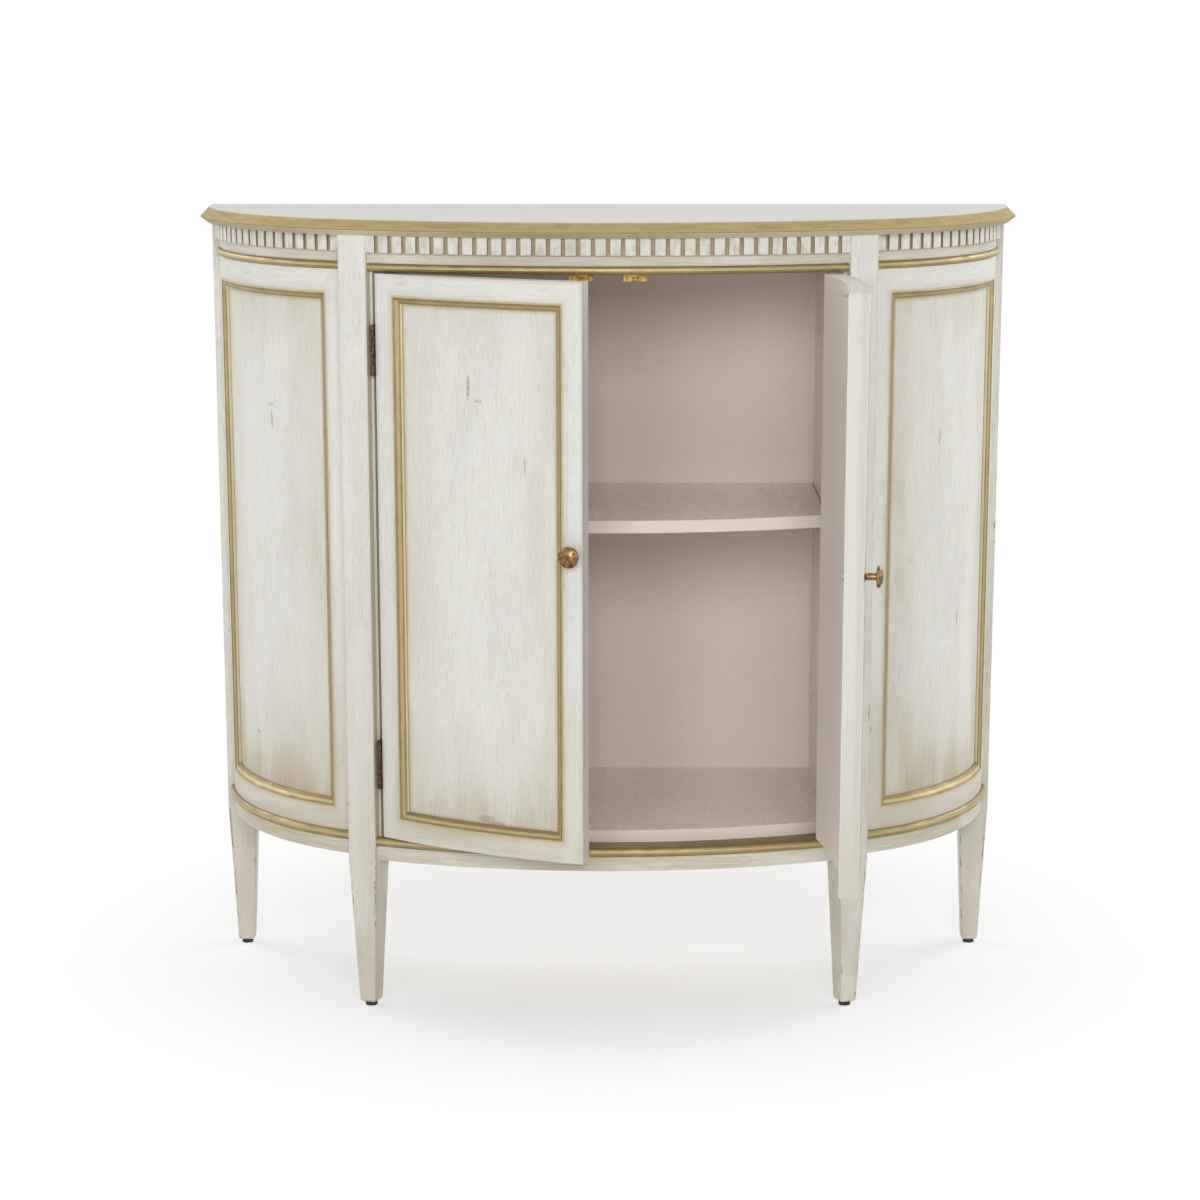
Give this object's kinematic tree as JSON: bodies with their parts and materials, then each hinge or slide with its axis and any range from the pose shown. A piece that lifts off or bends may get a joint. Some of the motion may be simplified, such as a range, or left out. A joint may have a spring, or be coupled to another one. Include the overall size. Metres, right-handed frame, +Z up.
{
  "type": "demilune cabinet",
  "caption": "Half-round painted side cabinet with gilded mouldings: bowed doors on butt hinges, a dentil frieze, a shelf and square tapered legs.",
  "frame": {"origin": "on the floor, below the middle of the top board's back edge, where the wall and floor meet", "axes": "+X to the right seen from the front, +Y towards the wall behind, +Z up; the doors face -Y"},
  "size_m": [0.972, 0.5751, 0.914],
  "materials": {
    "painted_wood": "antiqued cream paint",
    "gilded_wood": "worn gilding on wood",
    "stained_inside": "flat taupe paint",
    "bronzed_brass": "bronzed brass",
    "bright_brass": "bright brass",
    "screw_steel": "plain steel",
    "black_glide": "black plastic"
  },
  "bodies": {
    "carcass": {"back_panel": "stained_inside", "back_rails": "stained_inside", "bottom_board": "stained_inside", "case_hinge_leaves": "bronzed_brass", "case_hinge_screws": "bronzed_brass", "door_catches": "bright_brass", "foot_glides": "black_glide", "front_apron": "painted_wood", "front_base_moulding": "gilded_wood", "front_dentil_strip": "painted_wood", "front_frieze_bead": "gilded_wood", "front_frieze_rail": "painted_wood", "hinge_jambs": "stained_inside", "hinge_pins": "bronzed_brass", "left_apron": "painted_wood", "left_back_post": "painted_wood", "left_base_moulding": "gilded_wood", "left_dentil_strip": "painted_wood", "left_frieze_bead": "gilded_wood", "left_frieze_rail": "painted_wood", "left_front_post": "painted_wood", "left_partition": "stained_inside", "left_side_moulding": "gilded_wood", "left_side_panel": "painted_wood", "left_side_rails": "painted_wood", "left_side_stiles": "painted_wood", "right_apron": "painted_wood", "right_back_post": "painted_wood", "right_base_moulding": "gilded_wood", "right_dentil_strip": "painted_wood", "right_frieze_bead": "gilded_wood", "right_frieze_rail": "painted_wood", "right_front_post": "painted_wood", "right_partition": "stained_inside", "right_side_moulding": "gilded_wood", "right_side_panel": "painted_wood", "right_side_rails": "painted_wood", "right_side_stiles": "painted_wood", "shelf": "stained_inside", "shelf_supports": "screw_steel", "top_blocks": "stained_inside", "top_board": "painted_wood"},
    "left_door": {"left_door_hinge_leaves": "bronzed_brass", "left_door_hinge_screws": "bronzed_brass", "left_door_moulding": "gilded_wood", "left_door_panel": "painted_wood", "left_door_rails": "painted_wood", "left_door_stiles": "painted_wood", "left_knob": "bronzed_brass", "left_knob_screw": "screw_steel", "left_strike_plate": "screw_steel"},
    "right_door": {"right_door_hinge_leaves": "bronzed_brass", "right_door_hinge_screws": "bronzed_brass", "right_door_moulding": "gilded_wood", "right_door_panel": "painted_wood", "right_door_rails": "painted_wood", "right_door_stiles": "painted_wood", "right_knob": "bronzed_brass", "right_knob_screw": "screw_steel", "right_strike_plate": "screw_steel"}
  },
  "joints": [
    {"name": "left_door_hinge", "type": "hinge", "parent": "carcass", "child": "left_door", "pos_m": [-0.26266, -0.30672, 0.5321], "axis": [0, 0, -1], "range_deg": [-18, 147]},
    {"name": "right_door_hinge", "type": "hinge", "parent": "carcass", "child": "right_door", "pos_m": [0.26266, -0.30672, 0.5321], "axis": [0, 0, 1], "range_deg": [-81.5, 83.5]}
  ]
}
